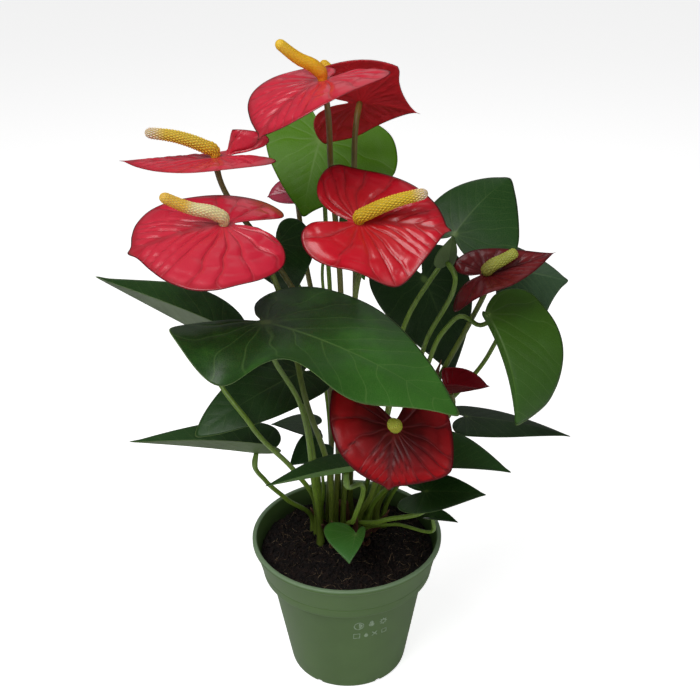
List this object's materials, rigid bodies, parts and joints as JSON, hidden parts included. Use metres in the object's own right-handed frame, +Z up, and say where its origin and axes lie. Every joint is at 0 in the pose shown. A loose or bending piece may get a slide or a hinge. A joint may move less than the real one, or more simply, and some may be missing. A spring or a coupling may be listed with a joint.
{
  "type": "potted anthurium",
  "caption": "Flowering anthurium in a round green nursery pot: heart-shaped leaves and glossy red spathes with yellow spikes on thin stalks above dark peat.",
  "frame": {"origin": "centre of the pot's flat base, on the surface that the pot stands on", "axes": "+Z up along the pot's axis; -Y is the plant's front, the side that most of the leaves and spathes face; +X to the right seen from the front"},
  "size_m": [0.2743, 0.1888, 0.4078],
  "materials": {
    "pot": "satin moulded polypropylene",
    "soil": "moist dark peat with pale fibres",
    "crown": "dry papery brown sheaths",
    "leaf_dark_green": "glossy dark green leaf",
    "leaf_bright_green": "glossy young green leaf",
    "petiole_green": "satin",
    "peduncle_olive": "satin",
    "spathe_red": "glossy waxy bract",
    "spathe_dark_red": "glossy waxy bract",
    "spadix_yellow": "pebbled, matte"
  },
  "bodies": {
    "root": {"crown": "crown", "flower_bud_peduncle": "peduncle_olive", "flower_bud_spathe": "spathe_dark_red", "flower_centre_peduncle": "peduncle_olive", "flower_centre_spadix": "spadix_yellow", "flower_centre_spathe": "spathe_red", "flower_left_back_peduncle": "peduncle_olive", "flower_left_back_spadix": "spadix_yellow", "flower_left_back_spathe": "spathe_red", "flower_left_front_peduncle": "peduncle_olive", "flower_left_front_spadix": "spadix_yellow", "flower_left_front_spathe": "spathe_red", "flower_low_front_peduncle": "peduncle_olive", "flower_low_front_spadix": "spadix_yellow", "flower_low_front_spathe": "spathe_dark_red", "flower_right_peduncle": "peduncle_olive", "flower_right_spadix": "spadix_yellow", "flower_right_spathe": "spathe_dark_red", "flower_top_back_peduncle": "peduncle_olive", "flower_top_back_spadix": "spadix_yellow", "flower_top_back_spathe": "spathe_red", "flower_top_peduncle": "peduncle_olive", "flower_top_spadix": "spadix_yellow", "flower_top_spathe": "spathe_red", "leaf_back_right_blade": "leaf_dark_green", "leaf_back_right_petiole": "petiole_green", "leaf_centre_back_blade": "leaf_dark_green", "leaf_centre_back_petiole": "petiole_green", "leaf_dark_back_blade": "leaf_dark_green", "leaf_dark_back_petiole": "petiole_green", "leaf_drooping_blade": "leaf_bright_green", "leaf_drooping_petiole": "petiole_green", "leaf_front_large_blade": "leaf_dark_green", "leaf_front_large_petiole": "petiole_green", "leaf_left_front_blade": "leaf_dark_green", "leaf_left_front_petiole": "petiole_green", "leaf_long_right_blade": "leaf_dark_green", "leaf_long_right_petiole": "petiole_green", "leaf_low_front_blade": "leaf_dark_green", "leaf_low_front_petiole": "petiole_green", "leaf_low_left_blade": "leaf_dark_green", "leaf_low_left_petiole": "petiole_green", "leaf_low_right_blade": "leaf_dark_green", "leaf_low_right_petiole": "petiole_green", "leaf_mid_right_blade": "leaf_dark_green", "leaf_mid_right_petiole": "petiole_green", "leaf_small_left_blade": "leaf_dark_green", "leaf_small_left_petiole": "petiole_green", "leaf_small_soil_blade": "leaf_dark_green", "leaf_small_soil_petiole": "petiole_green", "leaf_tall_back_blade": "leaf_bright_green", "leaf_tall_back_petiole": "petiole_green", "leaf_upper_left_blade": "leaf_dark_green", "leaf_upper_left_petiole": "petiole_green", "leaf_upper_right_blade": "leaf_dark_green", "leaf_upper_right_petiole": "petiole_green", "leaf_young_blade": "leaf_bright_green", "leaf_young_petiole": "petiole_green", "pot": "pot", "soil": "soil"}
  },
  "joints": []
}
